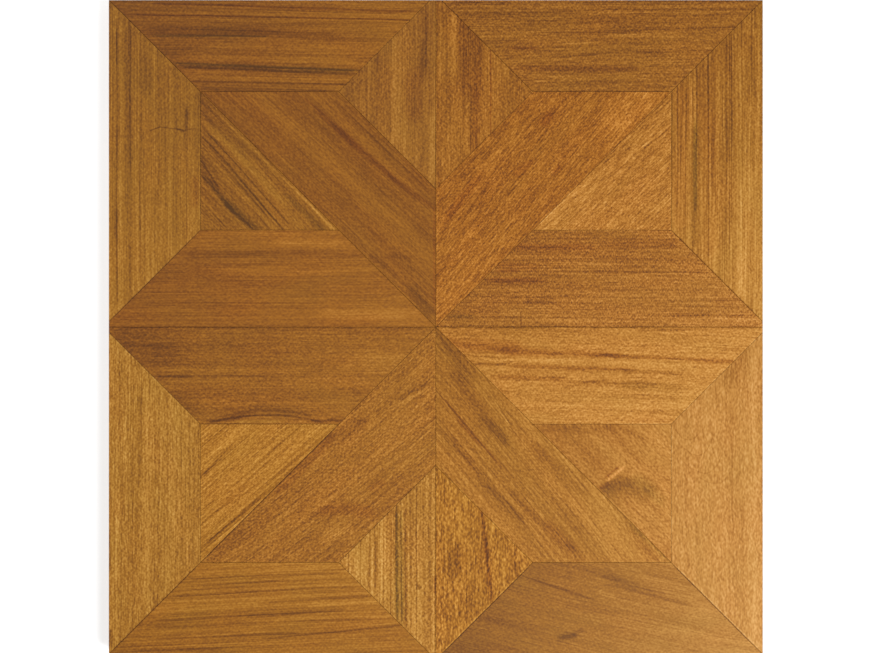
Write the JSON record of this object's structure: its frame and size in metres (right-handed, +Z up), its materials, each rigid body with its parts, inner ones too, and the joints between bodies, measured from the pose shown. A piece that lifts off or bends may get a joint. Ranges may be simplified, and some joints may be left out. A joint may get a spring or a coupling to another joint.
{
  "type": "parquet panel",
  "caption": "Square parquet panel: mitred hardwood face staves in a mirrored star layout on a plywood base grooved in all four edges for loose tongues.",
  "frame": {"origin": "centre of the underside, on the floor", "axes": "+Z up through the face, +X to the panel's east edge, +Y to its north edge, which is the top of the picture"},
  "size_m": [0.6, 0.6, 0.018],
  "materials": {
    "face_hardwood": "satin clear lacquer on planed golden-brown hardwood",
    "base_plywood": "sanded, unfinished"
  },
  "bodies": {
    "root": {"plywood_base": "base_plywood", "side_border_nw": "face_hardwood", "end_border_nw": "face_hardwood", "centre_border_nw": "face_hardwood", "diagonal_stave_nw": "face_hardwood", "inner_triangle_nw": "face_hardwood", "edge_triangle_nw": "face_hardwood", "side_border_ne": "face_hardwood", "end_border_ne": "face_hardwood", "centre_border_ne": "face_hardwood", "diagonal_stave_ne": "face_hardwood", "inner_triangle_ne": "face_hardwood", "edge_triangle_ne": "face_hardwood", "side_border_sw": "face_hardwood", "end_border_sw": "face_hardwood", "centre_border_sw": "face_hardwood", "diagonal_stave_sw": "face_hardwood", "inner_triangle_sw": "face_hardwood", "edge_triangle_sw": "face_hardwood", "side_border_se": "face_hardwood", "end_border_se": "face_hardwood", "centre_border_se": "face_hardwood", "diagonal_stave_se": "face_hardwood", "inner_triangle_se": "face_hardwood", "edge_triangle_se": "face_hardwood"}
  },
  "joints": []
}
